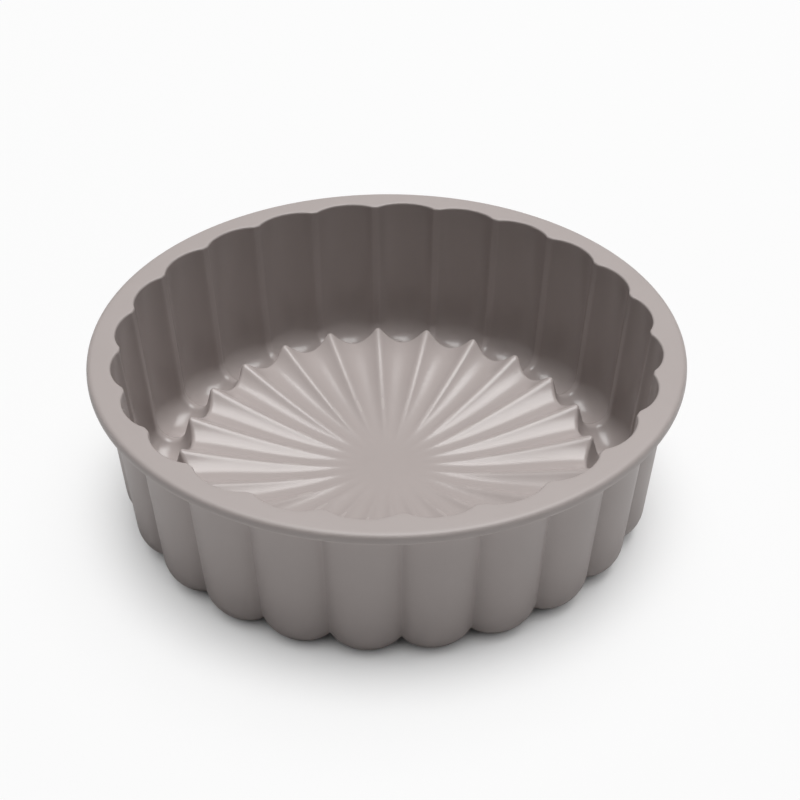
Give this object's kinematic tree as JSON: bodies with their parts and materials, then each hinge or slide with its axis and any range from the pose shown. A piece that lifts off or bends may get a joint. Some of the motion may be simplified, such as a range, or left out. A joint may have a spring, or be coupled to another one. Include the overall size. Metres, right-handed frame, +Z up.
{
  "type": "cake mould",
  "caption": "Round flexible cake mould with a flat rim, a drafted fluted wall with rounded flute ends and a sunburst floor that dishes towards a plain centre.",
  "frame": {"origin": "on the mould's axis, in the plane on which its flute ends stand", "axes": "+Z up along the mould's axis, out of its mouth; +X through one ridge between two flutes"},
  "size_m": [0.24, 0.24, 0.072],
  "materials": {
    "taupe_silicone": "satin"
  },
  "bodies": {
    "root": {"cake_mould": "taupe_silicone"}
  },
  "joints": []
}
